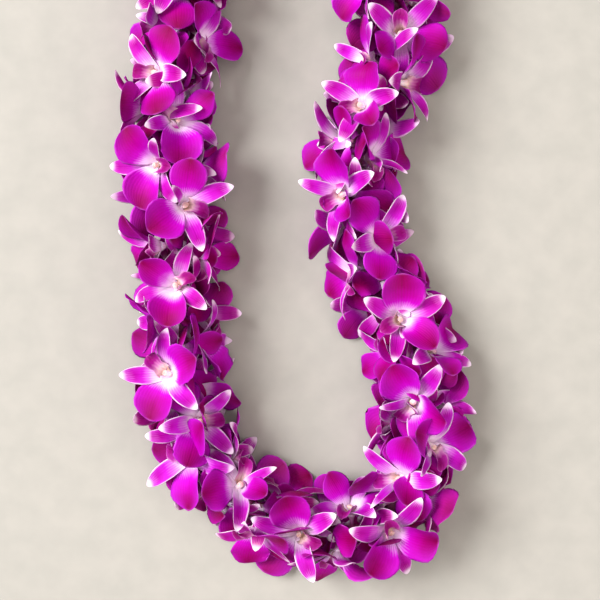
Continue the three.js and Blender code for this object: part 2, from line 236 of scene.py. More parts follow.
def follow_rib(bloom, blade, bends):
    """Ribs, width directions, headings and half width of one blade, for each of several bends."""
    form, (more_open, yaw, layer) = blade["form"], bends.T[:, :, None]
    angle = np.radians(blade["azimuth"] + yaw)
    radial = bloom["dorsal"] * np.cos(angle) + bloom["lateral"] * np.sin(angle)
    across = np.cross(bloom["axis"], radial)
    half_width = form["width"] * bloom["size"] * (1 + np.minimum(0, more_open) / NARROWS_BY) / 2
    lowest = BLADE_THICKNESS / 2 - REST_DEPTH + layer * (BLADE_THICKNESS + BLADE_GAP)
    edge_room = STAYS_ON_EDGE * np.abs(across[:, 2:]) * half_width
    rib = bloom["point"] + bloom["axis"] * bloom["face"] + radial * HUB_RADIUS
    step = blade["length"] / SPINE_STEPS
    root_angle, tip_angle = form["opens"]
    last_heading, last_width = radial, across
    ribs, widths, headings = [rib], [across], [radial]
    for j in range(1, SPINE_STEPS + 1):
        share = (j - 0.5) / SPINE_STEPS
        opening = root_angle + (tip_angle - root_angle) * share + blade["open"] + more_open
        opening = np.radians(opening)
        heading = radial * np.sin(opening) + bloom["axis"] * np.cos(opening)
        floor = lowest + edge_room * math.sin(math.pi * share)
        lies = rib[:, 2:] + heading[:, 2:] * step < floor
        along_floor = heading + LAGS * last_heading
        rise = np.clip((floor - rib[:, 2:]) / step, -STEEPEST, STEEPEST)
        level = unit(along_floor[:, :2])
        along_floor = np.concatenate([level * np.sqrt(1 - rise**2), rise], axis=1)
        heading = np.where(lies, along_floor, heading)
        rib = rib + heading * step
        width = turned(across, heading, blade["twist"] * j / SPINE_STEPS)
        width = width * np.where(lies, (1, 1, STAYS_ON_EDGE), 1)
        width = width + np.where(dot(width, last_width) < TURNS_TOO_FAR, last_width, 0)
        width = unit(width - heading * dot(width, heading))
        last_heading, last_width = heading, width
        ribs.append(rib)
        widths.append(width)
        headings.append(heading)
    return np.stack(ribs, 1), np.stack(widths, 1), np.stack(headings, 1), half_width


trial = follow_rib(blooms[0], blooms[0]["blades"][1], BENDS[:1])
print("a petal's rib rises to", round(float(trial[0][0, -1, 2]), 1), "mm")

# %% [markdown]
# ## Find how each blade was bent
# The frame's solids are cut only at a few corners, and those corners show which bend was chosen.
# For every bend the corners are foretold, and the bend with most of them among the solid's own
# points is taken, or of several such bends the one that lies nearest. The string's box gives the
# shift between the rule's own origin and the frame's.

# %% The shift from the rule's origin to the frame's


def cad_points(node):
    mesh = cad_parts[node].data
    points = np.empty(3 * len(mesh.vertices))
    mesh.vertices.foreach_get("co", points)
    return 1000 * points.reshape(-1, 3)


rings = []
for n in range(BLOOMS // BLOOMS_PER_NODE):
    point, tangent, side = station((n * BLOOMS_PER_NODE - 0.5) * PITCH)
    for angle in np.radians(np.arange(STRING_SIDES) * 360 / STRING_SIDES):
        rings.append(point + side * STRING_RADIUS * math.cos(angle))
string_points = cad_points("string")
shift = (string_points.min(0) + string_points.max(0) - np.min(rings, 0) - np.max(rings, 0)) / 2
shift[2] = 0
print("shift of the frame, mm:", np.round(shift, 3))

# %% Pick the bend whose corners the solid has
CLOSE = 0.08
ROUNDING = 1e-9
matched, foretold = 0, 0
for i, bloom in enumerate(blooms):
    solid_points = cad_points(f"bloom_pair_{i // BLOOMS_PER_NODE + 1:02d}") - shift
    for blade in bloom["blades"]:
        ribs, widths, headings, half_width = follow_rib(bloom, blade, BENDS)
        faces = np.cross(headings, widths)
        guesses = []
        for share, wide in [*blade["form"]["corners"], (1, 0)]:
            j = min(SPINE_STEPS, math.floor(SPINE_STEPS * share + 0.5 + ROUNDING))
            if share < 1 and j / SPINE_STEPS <= share - 0.5 / SPINE_STEPS + ROUNDING:
                j += 1
            for hand in (-1, 1):
                for sign in (-1, 1):
                    edge = widths[:, j] * hand * half_width * wide
                    guesses.append(ribs[:, j] + edge + faces[:, j] * sign * BLADE_THICKNESS / 2)
        guesses = np.stack(guesses, 1)
        apart = np.linalg.norm(guesses[:, :, None] - solid_points, axis=-1).min(-1)
        hits = (apart < CLOSE).sum(1)
        blade["bend"] = BENDS[np.lexsort((apart.mean(1), -hits))[0]]
        matched += hits.max()
        foretold += guesses.shape[1]
print(f"{matched} of {foretold} corners found in the solids")

# %% [markdown]
# ## From rib to petal
# A petal is a thin closed shell: a lens-shaped section that is swept along the rib, wide across
# and half a millimetre thick. Its outline comes from how the width changes along the rib, its
# cupping from lifting the edges, and its ripple from a wave that grows towards the edge. The
# tables below are shares of the length against shares of the width.

# %% The outline of each kind of blade
OUTLINES = {
    "petal": [(-0.1, 0.14), (0, 0.32), (0.12, 0.5), (0.3, 0.82), (0.48, 1.04), (0.66, 1.14),
              (0.8, 1.04), (0.9, 0.8), (0.965, 0.48), (1, 0.07)],
    "pointed petal": [(-0.1, 0.14), (0, 0.28), (0.12, 0.42), (0.3, 0.74), (0.48, 1.0),
                      (0.64, 1.1), (0.78, 0.94), (0.88, 0.64), (0.96, 0.3), (1, 0.04)],
    "sepal": [(-0.1, 0.3), (0, 0.62), (0.2, 0.84), (0.42, 1.02), (0.62, 0.98), (0.8, 0.76),
              (0.92, 0.46), (0.975, 0.26), (1, 0.05)],
    "lip": [(-0.1, 0.3), (0, 0.85), (0.22, 1.15), (0.42, 0.8), (0.62, 1.05), (0.8, 1.1),
            (0.92, 0.72), (1, 0.08)],
}
RINGS = {
    "petal": (-0.09, 0.0, 0.1, 0.22, 0.35, 0.48, 0.6, 0.71, 0.81, 0.89, 0.95, 0.985, 1.0),
    "sepal": (-0.09, 0.0, 0.12, 0.26, 0.4, 0.54, 0.67, 0.79, 0.89, 0.95, 0.985, 1.0),
    "lip": (-0.09, 0.0, 0.14, 0.28, 0.42, 0.56, 0.7, 0.82, 0.92, 1.0),
}
KINDS = {"petal": 0, "sepal": 1, "lip": 2, "column": 3, "neck": 4}
PETAL_THICKNESS = 0.5
LOOKS_SEED = 7
looks = np.random.default_rng(LOOKS_SEED)
print("rings along a petal:", len(RINGS["petal"]))

# %% Rings of one blade


def smoothed(rows):
    """Unit vectors averaged with the ones before and after them."""
    padded = np.concatenate([rows[:1], rows, rows[-1:]])
    return unit(padded[:-2] + 2 * rows + padded[2:])


def sampled(shares, rows, wanted):
    return np.stack([np.interp(wanted, shares, rows[:, k]) for k in range(3)], 1)


# How far a blade may cup (share of its half width), curl at its tip and bow to a side (mm), how
# high its ripple is (mm) and how many waves it has.
MANNERS = {
    "petal": {"cup": (-0.3, 0.7), "curl": (-4.5, 3.5), "ripple": (0.8, 3.0),
              "waves": (1.0, 2.4), "bow": (-3, 3)},
    "sepal": {"cup": (0, 0.6), "curl": (-4.5, 3), "ripple": (0.3, 1.2),
              "waves": (0.8, 1.6), "bow": (-3, 3)},
    "lip": {"cup": (1.0, 1.2), "curl": (-3.5, -2.5), "ripple": (0.6, 1.0),
            "waves": (2.6, 3.2), "bow": (-0.5, 0.5)},
}


def manner(kind, ease):
    """A random way for a blade to cup, curl and ripple; ease goes from 1, lively, to 0, flat."""
    drawn = {key: looks.uniform(low, high) for key, (low, high) in MANNERS[kind].items()}
    for key in ("cup", "curl", "ripple", "bow"):
        drawn[key] *= ease if kind != "lip" else 1
    drawn["phase"] = looks.uniform()
    drawn["pointed"] = looks.uniform()
    drawn["wide"] = 0.9 + 0.1 * ease
    return drawn


THROAT_DEPTH, THROAT_WIDTH = 1.6, 0.25  # mm below the hub, and share of the hub's radius
CURLS_FROM = 0.5  # share of the length


def blade_rings(bloom, kind, spine, drawn, tint, root=0.0):
    """Everything that the sweep needs at each ring of one blade, curled in one way."""
    ribs, widths, headings, half_width = spine
    widths, headings = smoothed(smoothed(widths)), smoothed(headings)
    half_width = float(half_width[0])
    hub = bloom["point"] + bloom["axis"] * bloom["face"]
    throat = hub - THROAT_DEPTH * bloom["axis"] + THROAT_WIDTH * (ribs[0] - hub)
    shares = np.concatenate([[-0.1], np.linspace(0, 1, SPINE_STEPS + 1)])
    wanted = np.array(RINGS[kind])
    rib = sampled(shares, np.concatenate([throat[None], ribs]), wanted)
    width = unit(sampled(shares, np.concatenate([widths[:1], widths]), wanted))
    heading = unit(sampled(shares, np.concatenate([headings[:1], headings]), wanted))
    width = unit(width - heading * dot(width, heading))
    face = np.cross(heading, width)
    outline = np.interp(wanted, *zip(*OUTLINES[kind]))
    if kind == "petal":
        pointed = np.interp(wanted, *zip(*OUTLINES["pointed petal"]))
        outline += drawn["pointed"] * (pointed - outline)
    outline *= drawn["wide"]
    out = np.clip(wanted, 0, 1)
    fades = 1 - np.clip(wanted - CURLS_FROM, 0, 1) * (1.6 if kind == "lip" else 0.8)
    curl = np.clip((wanted - CURLS_FROM) / (1 - CURLS_FROM), 0, 1) ** 2
    rib = rib + face * (drawn["curl"] * curl)[:, None]
    rib = rib + width * (drawn["bow"] * out**2)[:, None]
    return {
        "rib": (rib + shift) / 1000,
        "side": width * (half_width * outline / 1000)[:, None],
        "face": face,
        # Half of it, in metres: thickest at the root, and thin where the outline is narrow.
        "thickness": (PETAL_THICKNESS * (1.5 - 0.7 * out) * np.clip(outline * 3, 0.4, 1)) / 2000,
        "cup": drawn["cup"] * half_width * outline * fades / 1000,
        "ripple": drawn["ripple"] * out * outline / 1000,
        "phase": 2 * math.pi * (drawn["waves"] * wanted + drawn["phase"]),
        "along": root + (1 - root) * out,
        "tint": np.full(len(wanted), tint),
        "kind": np.full(len(wanted), KINDS[kind]),
    }


petal = blooms[0]["blades"][1]
petal_spine = [part[0] for part in follow_rib(blooms[0], petal, petal["bend"][None])]
petal_rings = blade_rings(blooms[0], "petal", petal_spine, manner("petal", 1), 0.5)
print("one petal:", len(petal_rings["rib"]), "rings")

# %% [markdown]
# ## Settle the blades among their neighbours
# Petals that pass through each other would give the game away. Each blade is tried in several
# ways, from lively to flat, and the way that crosses the blades already placed least is kept. A
# BVH tree is Blender's fast search for triangles that touch.

# %% Try a blade in several ways
LOWEST = 0.0003  # metres above the surface
ACROSS = np.linspace(-1, 1, 5)
NEAR = 0.045  # metres between the centres of blades that could touch
ROOT_RINGS = 3  # left out of the search, because all blades meet at the hub
RIPPLE_TURN = 1.1  # radians of ripple from a blade's middle to its edge
placed_trees = []
placed_centres = []


def sheet(rings):
    """The blade's middle surface beyond its root, as a search tree, and its centre."""
    outer = slice(ROOT_RINGS, None)
    rib, side, face = (rings[key][outer] for key in ("rib", "side", "face"))
    cup, ripple, phase = (rings[key][outer][:, None] for key in ("cup", "ripple", "phase"))
    height = ACROSS**2 * (cup + ripple * np.sin(phase + RIPPLE_TURN * ACROSS))
    grid = rib[:, None] + side[:, None] * ACROSS[:, None] + face[:, None] * height[..., None]
    grid[..., 2] = np.maximum(grid[..., 2], LOWEST)
    wide = len(ACROSS)
    quads = [
        (k, k + 1, k + wide + 1, k + wide)
        for row in range(0, wide * (len(grid) - 1), wide)
        for k in range(row, row + wide - 1)
    ]
    return BVHTree.FromPolygons(grid.reshape(-1, 3).tolist(), quads), grid.mean((0, 1))


def crossings(tree, centre):
    if not placed_trees:
        return 0
    apart = np.linalg.norm(np.array(placed_centres) - centre, axis=1)
    return sum(len(tree.overlap(placed_trees[k])) for k in np.flatnonzero(apart < NEAR))


def settle(bloom, blade, bends, eases, tint, root=0.0, most=10**6):
    """Give the blade its rings in the way that crosses least; none where all cross too much."""
    kind, fewest, kept = blade["form"]["kind"], most, None
    spines = list(zip(*follow_rib(bloom, blade, bends)))
    for ease, spine in [(ease, spine) for ease in eases for spine in spines]:
        rings = blade_rings(bloom, kind, spine, manner(kind, ease), tint, root)
        tree, centre = sheet(rings)
        met = crossings(tree, centre)
        if met < fewest:
            fewest, kept = met, (rings, tree, centre)
        if not met:
            break
    if kept:
        placed_trees.append(kept[1])
        placed_centres.append(kept[2])
        blade["rings"] = kept[0]
        blade["met"] = fewest


EASES = (1, 0.9, 0.75, 0.6, 0.4, 0.2, 0)
for bloom in blooms:
    bloom["age"] = looks.beta(1.3, 2.2)
    for blade in bloom["blades"]:
        tint = float(np.clip(bloom["age"] + looks.uniform(-0.12, 0.12), 0, 1))
        settle(bloom, blade, blade["bend"][None], EASES, tint)
met = [blade["met"] for bloom in blooms for blade in bloom["blades"]]
touch = sum(m > 0 for m in met)
print(f"{touch} of {len(met)} open blades still touch another, by {sum(met)} faces")

# %% [markdown]
# ## Column, neck and core
# The rest of a bloom is fleshy and round, and the same sweep makes it: the column in the bloom's
# throat with its blunt cap, the neck that holds the face away from the string, and the pressed
# base of the neck, which closes round the string.

# %% Rings of the round parts


def round_rings(centres, side, face, radii, flat, kind, along, tint):
    """What the sweep needs at each ring of a round part; flat is its height against its width."""
    count = len(centres)
    return {
        "rib": (centres + shift) / 1000,
        "side": np.broadcast_to(side, (count, 3)) * (radii / 1000)[:, None],
        "face": np.broadcast_to(face, (count, 3)),
        "thickness": radii * flat / 1000,
        "cup": np.zeros(count),
        "ripple": np.zeros(count),
        "phase": np.zeros(count),
        "along": along,
        "tint": np.full(count, tint),
        "kind": np.full(count, KINDS[kind]),
    }


def column_rings(bloom, tint):
    """A column 7.6 mm long, from below the hub, that leans over the lip."""
    share = np.array([0, 0.2, 0.42, 0.62, 0.78, 0.9, 0.97, 1])
    radii = np.array([1.7, 1.8, 1.9, 2.0, 2.2, 2.0, 1.4, 0.4])
    centres = bloom["point"] + bloom["axis"] * (bloom["face"] - 1.5 + 7.6 * share)[:, None]
    centres = centres + bloom["dorsal"] * (0.5 - 1.6 * share**2)[:, None]
    side, face = bloom["dorsal"] * 0.85, bloom["lateral"]
    return round_rings(centres, side, face, radii, 1.05, "column", share, tint)


def neck_rings(bloom, tint):
    """A neck, slim in its middle, that widens under the face."""
    share = np.array([0, 0.12, 0.3, 0.5, 0.7, 0.86, 0.95, 1])
    radii = np.array([2.4, 2.0, 1.5, 1.4, 1.9, 3.1, 3.5, 1.6])
    centres = bloom["point"] + bloom["axis"] * (2 + (bloom["face"] - 2.2) * share)[:, None]
    side, face = bloom["dorsal"], bloom["lateral"]
    return round_rings(centres, side, face, radii, 1.0, "neck", share, tint)


CORE_GAP = 0.35  # at each end of a piece of core


def core_rings(i, tint):
    """The pressed base of bloom i's neck, round the string as far as the next one."""
    share = np.linspace(0, 1, 7)
    start = -PITCH / 2 + (KNOT_ROOM if i == 0 else CORE_GAP)
    end = PITCH / 2 - (KNOT_ROOM if i == BLOOMS - 1 else CORE_GAP)
    radii = CORE_RADIUS * np.array([0.5, 0.84, 0.97, 1, 0.95, 0.82, 0.5])
    places = [station(i * PITCH + start + (end - start) * s) for s in share]
    centres = np.array([point for point, _, _ in places])
    side = np.array([sideways for _, _, sideways in places])
    across = np.cross([tangent for _, tangent, _ in places], side)
    return round_rings(centres, side, across, radii, 1.0, "neck", 0.25 * share, tint)


for rings in (column_rings(blooms[0], 0), neck_rings(blooms[0], 0), core_rings(0, 0)):
    print("a round part of", len(rings["rib"]), "rings")

# %% [markdown]
# ## The sweep, in Geometry Nodes
# An open bloom has nine such ribs, and there are 96 of them, with others tucked in between, so
# the sweep is one Geometry Nodes tree that every pair of blooms runs through. Each rib is a line
# of mesh edges with named attributes on its points. Mesh to Curve and Curve to Mesh carry those
# attributes to the swept rings, and Set Position then puts each ring point at its exact place:
# rib + side * across + face * height.

# %% Add one node


def add(tree, kind, inputs=None, **settings):
    """Add a node to a tree, set its properties, and fill its sockets with values or links."""
    node = tree.nodes.new(kind)
    for name, value in settings.items():
        setattr(node, name, value)
    for socket, value in (inputs or {}).items():
        if isinstance(value, bpy.types.NodeSocket):
            tree.links.new(value, node.inputs[socket])
        else:
            node.inputs[socket].default_value = value
    return node


def maths(tree, operation, a, b=0.0, c=0.0):
    return add(tree, "ShaderNodeMath", {0: a, 1: b, 2: c}, operation=operation).outputs[0]


# %% [markdown]
# ## Petal tissue
# Orchid petals are living tissue: a soft satin gloss, light that glows through them, a white
# throat that runs out into lilac and then deep magenta, fine veins along them, and a thin pale
# rim. The names along, across, lift and tint are the attributes that the sweep leaves on the
# surface, so every pattern follows its own petal.

# %% Colours from sRGB hex


def colour(code):
    """An sRGB hex code as the linear colour that Blender's sockets take."""
    parts = [int(code[k:k + 2], 16) / 255 for k in (1, 3, 5)]
    return (*[c / 12.92 if c <= 0.04045 else ((c + 0.055) / 1.055) ** 2.4 for c in parts], 1)


def set_ramp(node, stops):
    """Give a Color Ramp node its stops."""
    elements = node.color_ramp.elements
    while len(elements) > 1:
        elements.remove(elements[-1])
    for k, (place, code) in enumerate(stops):
        element = elements[0] if k == 0 else elements.new(place)
        element.position, element.color = place, colour(code)


# %% What every material needs


def noise(tree, place, scale, detail):
    sizes = {"Vector": place, "Scale": scale, "Detail": detail}
    return add(tree, "ShaderNodeTexNoise", sizes).outputs["Fac"]


def ranged(tree, value, from_min, from_max, to_min=0.0, to_max=1.0, curve="LINEAR"):
    """A value brought from one range into another, and kept inside it."""
    limits = {"From Min": from_min, "From Max": from_max, "To Min": to_min, "To Max": to_max}
    given = {"Value": value, **limits}
    return add(tree, "ShaderNodeMapRange", given, interpolation_type=curve).outputs[0]


def blended(tree, share, base, code, blend="MIX"):
    """A colour mixed or multiplied with the colour of an sRGB hex code."""
    mixed = {"Fac": share, "Color1": base, "Color2": colour(code)}
    return add(tree, "ShaderNodeMixRGB", mixed, blend_type=blend).outputs["Color"]


def bumped(tree, height, distance, strength):
    relief = {"Height": height, "Distance": distance, "Strength": strength}
    return add(tree, "ShaderNodeBump", relief).outputs["Normal"]


def attribute(tree, name):
    return add(tree, "ShaderNodeAttribute", attribute_name=name).outputs["Fac"]


def new_material(name):
    """An empty material and its node tree."""
    material = bpy.data.materials.new(name)
    material.use_nodes = True
    material.node_tree.nodes.clear()
    return material, material.node_tree


# %% A material for thin tissue


def tissue(name, stops, side_light, tip, rim, rim_from, veins, glow):
    """Petal tissue, coloured from the throat out, with painted side light, a rim, a tip and veins.

    The tip is where it starts, where it is full, and how strong it and the rim are.
    """
    material, tree = new_material(name)
    along, across, lift, tint = (attribute(tree, n) for n in ("along", "across", "lift", "tint"))
    place = add(tree, "ShaderNodeTexCoord").outputs["Object"]
    # Patches about 12 mm across shift the colour's edge, as no two petals fade alike.
    patches = noise(tree, place, 85, 2.0)
    # Veins are about 0.3 mm wide and 1 mm apart; they are drawn 2 mm apart so that they show.
    wave = maths(tree, "COSINE", maths(tree, "MULTIPLY", across, veins))
    shifted = maths(tree, "MULTIPLY_ADD", patches, 0.3, -0.15)
    shifted = maths(tree, "ADD", along, shifted)
    shifted = maths(tree, "MULTIPLY_ADD", wave, -0.032, shifted)
    ramp = add(tree, "ShaderNodeValToRGB", {"Fac": shifted})
    set_ramp(ramp, stops)
    # Painted light: a cupped blade is lighter and bluer at its sides than along its shaded middle.
    sides = maths(tree, "MULTIPLY", across, across)
    outwards = ranged(tree, along, 0.3, 0.6, to_max=0.75)
    sides = maths(tree, "MULTIPLY", sides, outwards)
    base = blended(tree, sides, ramp.outputs["Color"], side_light)
    # Some blooms on a string are older and redder; tucked ones are darker still: painted shade.
    age_and_shade = maths(tree, "MULTIPLY", tint, ranged(tree, along, 0.2, 0.5, to_max=0.7))
    base = blended(tree, age_and_shade, base, "#e0609a", "MULTIPLY")
    # Veins are a little darker than the tissue between them.
    vein = ranged(tree, wave, 0.2, 1.0, to_max=0.1)
    base = blended(tree, vein, base, "#c46ac0", "MULTIPLY")
    # A thin groove runs down the middle of a blade, darkened a little here as painted shade.
    edge = maths(tree, "ABSOLUTE", across)
    groove = ranged(tree, edge, 0.12, 0.0, curve="SMOOTHSTEP")
    base = blended(tree, maths(tree, "MULTIPLY", groove, 0.1), base, "#c04a98", "MULTIPLY")
    # The pale rim, and the tip.
    edge = maths(tree, "ADD", edge, maths(tree, "MULTIPLY_ADD", patches, 0.24, -0.12))
    edge = ranged(tree, edge, rim_from, 1.0, curve="SMOOTHSTEP")
    tip_from, tip_to, strength = tip
    end = ranged(tree, along, tip_from, tip_to, curve="SMOOTHSTEP")
    edge = maths(tree, "MULTIPLY", maths(tree, "MAXIMUM", edge, end), strength)
    base = blended(tree, edge, base, rim)
    # The underside is a little duller.
    base = blended(tree, ranged(tree, lift, 0.15, -0.15, to_max=0.14), base, "#c83cae")
    # Cells about 0.1 mm across give orchid tissue its sparkle; they are drawn at 0.6 mm.
    cells = noise(tree, place, 1600, 1.0)
    relief = maths(tree, "MULTIPLY_ADD", wave, -0.25, cells)
    relief = maths(tree, "MULTIPLY_ADD", groove, -0.7, relief)
    bump = bumped(tree, relief, 0.0002, 0.7)
    surface = add(tree, "ShaderNodeBsdfPrincipled", {
        "Base Color": base, "Roughness": ranged(tree, cells, 0.0, 1.0, 0.4, 0.6), "Normal": bump,
        "Specular IOR Level": 0.07, "IOR": 1.4,
    }).outputs[0]
    # Light glows through a thin blade.
    through = add(tree, "ShaderNodeBsdfTranslucent", {"Color": base, "Normal": bump}).outputs[0]
    mixed = add(tree, "ShaderNodeMixShader", {0: glow, 1: surface, 2: through}).outputs[0]
    add(tree, "ShaderNodeOutputMaterial", {"Surface": mixed})
    return material


# %% The tissues of a bloom
# Fresh petal: velvety cells over a soft layer, magenta with a white throat.
petal_tissue = tissue(
    "fresh_petal_tissue",
    # The first stop, pinker and darker than the white after it, is painted shade in the throat.
    [(0, "#f0cce8"), (0.09, "#f8e4fa"), (0.19, "#f0c0f4"), (0.27, "#da6ee2"),
     (0.36, "#c60cc8"), (0.53, "#b400a2"), (0.74, "#9a0072"), (1, "#80004a")],
    side_light="#c01cd2", tip=(0.95, 1.0, 0.4), rim="#d868e0", rim_from=0.92, veins=46, glow=0.24,
)
# Fresh sepal: narrower, lilac, with white edges and a white tip.
sepal_tissue = tissue(
    "fresh_sepal_tissue",
    # The first stop, pinker and darker than the white after it, is painted shade in the throat.
    [(0, "#f0cce8"), (0.08, "#f8e4fa"), (0.22, "#f2caf4"), (0.34, "#da78e2"),
     (0.5, "#c618ca"), (0.74, "#b002a2"), (0.87, "#ca5ccc"), (1, "#fbeefa")],
    side_light="#ca38d4", tip=(0.84, 0.96, 0.92), rim="#fbe6fa", rim_from=0.82, veins=24, glow=0.26,
)
# Fresh lip: deep purple over a cream throat.
lip_tissue = tissue(
    "fresh_lip_tissue",
    # The tan first stop, darker than the cream after it, is painted shade under the column.
    [(0, "#dcb8a4"), (0.25, "#f0ccd4"), (0.42, "#d080c2"), (0.6, "#9c1284"),
     (0.8, "#860466"), (1, "#9e2488")],
    side_light="#ac2ca4", tip=(0.96, 1.0, 0.5), rim="#e6a2d8", rim_from=0.86, veins=14, glow=0.22,
)
print("tissues:", petal_tissue.name, sepal_tissue.name, lip_tissue.name)

# %% Fleshy tissue


def fleshy(name, stops, roughness):
    """The thick, waxy tissue of a column or a neck, coloured along its length."""
    material, tree = new_material(name)
    along, across = attribute(tree, "along"), attribute(tree, "across")
    mottle = noise(tree, add(tree, "ShaderNodeTexCoord").outputs["Object"], 420, 3.0)
    shifted = maths(tree, "ADD", along, maths(tree, "MULTIPLY_ADD", mottle, 0.3, -0.15))
    ramp = add(tree, "ShaderNodeValToRGB", {"Fac": shifted})
    set_ramp(ramp, stops)
    # Shallow ridges, about 1 mm apart, run along a neck.
    ridge = maths(tree, "SINE", maths(tree, "MULTIPLY", across, 16.0))
    bump = bumped(tree, maths(tree, "MULTIPLY_ADD", ridge, 0.4, mottle), 0.0003, 0.6)
    surface = add(tree, "ShaderNodeBsdfPrincipled", {
        "Base Color": ramp.outputs["Color"], "Roughness": roughness, "Normal": bump, "IOR": 1.4,
        "Subsurface Weight": 0.15, "Subsurface Scale": 0.002,
    }).outputs[0]
    add(tree, "ShaderNodeOutputMaterial", {"Surface": surface})
    return material


# Column: waxy and white, with a blunt cap that is tan and purple.
column_tissue = fleshy(
    "waxy_column_tissue",
    [(0, "#f3e2d6"), (0.5, "#fdf4f2"), (0.78, "#f4dfd6"), (1, "#d9aca4")],
    0.38,
)
# Neck: purple where it is pressed round the string, its dark partly painted shade deep among the
# blooms; white towards the face.
neck_tissue = fleshy(
    "pressed_neck_tissue",
    [(0, "#7c3f66"), (0.3, "#93406f"), (0.6, "#c87cba"), (0.85, "#eccae6"), (1, "#f4e0f2")],
    0.42,
)
print("fleshy tissues:", column_tissue.name, neck_tissue.name)

# %% The tree that sweeps every rib


def new_tree(name, sizes):
    """A tree that takes geometry and named sizes; also its inputs, and the sizes' identifiers."""
    tree = bpy.data.node_groups.new(name, "GeometryNodeTree")
    tree.interface.new_socket("Geometry", in_out="INPUT", socket_type="NodeSocketGeometry")
    sockets = [
        tree.interface.new_socket(size, in_out="INPUT", socket_type=kind) for size, kind in sizes
    ]
    tree.interface.new_socket("Geometry", in_out="OUTPUT", socket_type="NodeSocketGeometry")
    return tree, add(tree, "NodeGroupInput").outputs, [socket.identifier for socket in sockets]


def circle(tree, points, radius):
    size = {"Resolution": points, "Radius": radius}
    return add(tree, "GeometryNodeCurvePrimitiveCircle", size, mode="RADIUS").outputs["Curve"]


def swept(tree, lines, profile):
    """Lines of mesh edges, swept with a profile and closed at their ends."""
    curve = add(tree, "GeometryNodeMeshToCurve", {"Mesh": lines}).outputs["Curve"]
    tube = {"Curve": curve, "Profile Curve": profile, "Fill Caps": True}
    return add(tree, "GeometryNodeCurveToMesh", tube).outputs["Mesh"]


def smooth_and_real(tree, geometry):
    shaped = add(tree, "GeometryNodeSetShadeSmooth", {"Geometry": geometry}).outputs["Geometry"]
    return add(tree, "GeometryNodeRealizeInstances", {"Geometry": shaped}).outputs["Geometry"]


def made_of(tree, geometry, material, chosen=True):
    choice = {"Geometry": geometry, "Selection": chosen, "Material": material}
    return add(tree, "GeometryNodeSetMaterial", choice).outputs["Geometry"]


def named(name, data_type="FLOAT"):
    node = add(sweep, "GeometryNodeInputNamedAttribute", {"Name": name}, data_type=data_type)
    return node.outputs["Attribute"]


def scaled(name, factor):
    """The named direction, as long as the factor says."""
    vector = {0: named(name, "FLOAT_VECTOR"), "Scale": factor}
    return add(sweep, "ShaderNodeVectorMath", vector, operation="SCALE").outputs[0]


sweep, given, (points_id, lowest_id) = new_tree("sweep ribs into blooms", [
    ("Points Round A Blade", "NodeSocketInt"), ("Lowest Point", "NodeSocketFloat"),
])
# The profile is a circle 2 mm wide, whose corners remember where they are from -1 to 1.
section = circle(sweep, given["Points Round A Blade"], 0.001)
here = add(sweep, "GeometryNodeInputPosition").outputs[0]
corner = add(sweep, "ShaderNodeSeparateXYZ", {0: here}).outputs
for name, axis in (("across", "X"), ("lift", "Y")):
    value = maths(sweep, "MULTIPLY", corner[axis], 1000.0)
    stored = {"Geometry": section, "Name": name, "Value": value}
    section = add(sweep, "GeometryNodeStoreNamedAttribute", stored,
                  data_type="FLOAT", domain="POINT").outputs["Geometry"]
tubes = swept(sweep, given["Geometry"], section)
print("tree:", sweep.name, len(sweep.nodes), "nodes so far")

# %% Put each ring point at its place
across, lift = named("across"), named("lift")
squared = maths(sweep, "MULTIPLY", across, across)
wave = maths(sweep, "SINE", maths(sweep, "MULTIPLY_ADD", across, RIPPLE_TURN, named("phase")))
height = maths(sweep, "MULTIPLY", lift, named("thickness"))
height = maths(sweep, "MULTIPLY_ADD", squared, named("cup"), height)
wave = maths(sweep, "MULTIPLY", squared, wave)
height = maths(sweep, "MULTIPLY_ADD", wave, named("ripple"), height)
place = named("rib", "FLOAT_VECTOR")
for step in (scaled("side", across), scaled("face", height)):
    place = add(sweep, "ShaderNodeVectorMath", {0: place, 1: step}).outputs[0]
parts = add(sweep, "ShaderNodeSeparateXYZ", {0: place}).outputs
# A blade that reaches the surface lies on it, with its two sides still apart.
lowest = maths(sweep, "MULTIPLY_ADD", lift, 0.0002, given["Lowest Point"])
above = maths(sweep, "MAXIMUM", parts["Z"], lowest)
rests = add(sweep, "ShaderNodeCombineXYZ", {0: parts["X"], 1: parts["Y"], 2: above}).outputs[0]
shaped = add(sweep, "GeometryNodeSetPosition", {"Geometry": tubes, "Position": rests})
finished = smooth_and_real(sweep, shaped.outputs["Geometry"])
finished = made_of(sweep, finished, petal_tissue)
for kind, material in enumerate((sepal_tissue, lip_tissue, column_tissue, neck_tissue), 1):
    same = {"A": named("kind"), "B": float(kind), "Epsilon": 0.4}
    chosen = add(sweep, "FunctionNodeCompare", same, data_type="FLOAT", operation="EQUAL")
    finished = made_of(sweep, finished, material, chosen.outputs["Result"])
add(sweep, "NodeGroupOutput", {"Geometry": finished})
print("tree:", sweep.name, len(sweep.nodes), "nodes")

# %% Run a set of ribs through the tree


def line_mesh(name, ribs):
    """A mesh of loose lines, one for each rib, with the rings' values as attributes."""
    points = np.concatenate([rings["rib"] for rings in ribs])
    starts = np.cumsum([0] + [len(rings["rib"]) for rings in ribs])
    edges = [(k, k + 1) for a, b in zip(starts[:-1], starts[1:]) for k in range(a, b - 1)]
    mesh = bpy.data.meshes.new(name)
    mesh.from_pydata(points.tolist(), edges, [])
    for key in ribs[0]:
        values = np.concatenate([rings[key] for rings in ribs])
        if values.ndim == 2:
            attribute_data = mesh.attributes.new(key, "FLOAT_VECTOR", "POINT").data
            attribute_data.foreach_set("vector", values.ravel())
        else:
            attribute_data = mesh.attributes.new(key, "FLOAT", "POINT").data
            attribute_data.foreach_set("value", values.astype(float))
    return mesh


SPARE = ("rib", "side", "face", "thickness", "cup", "ripple", "phase", "kind")


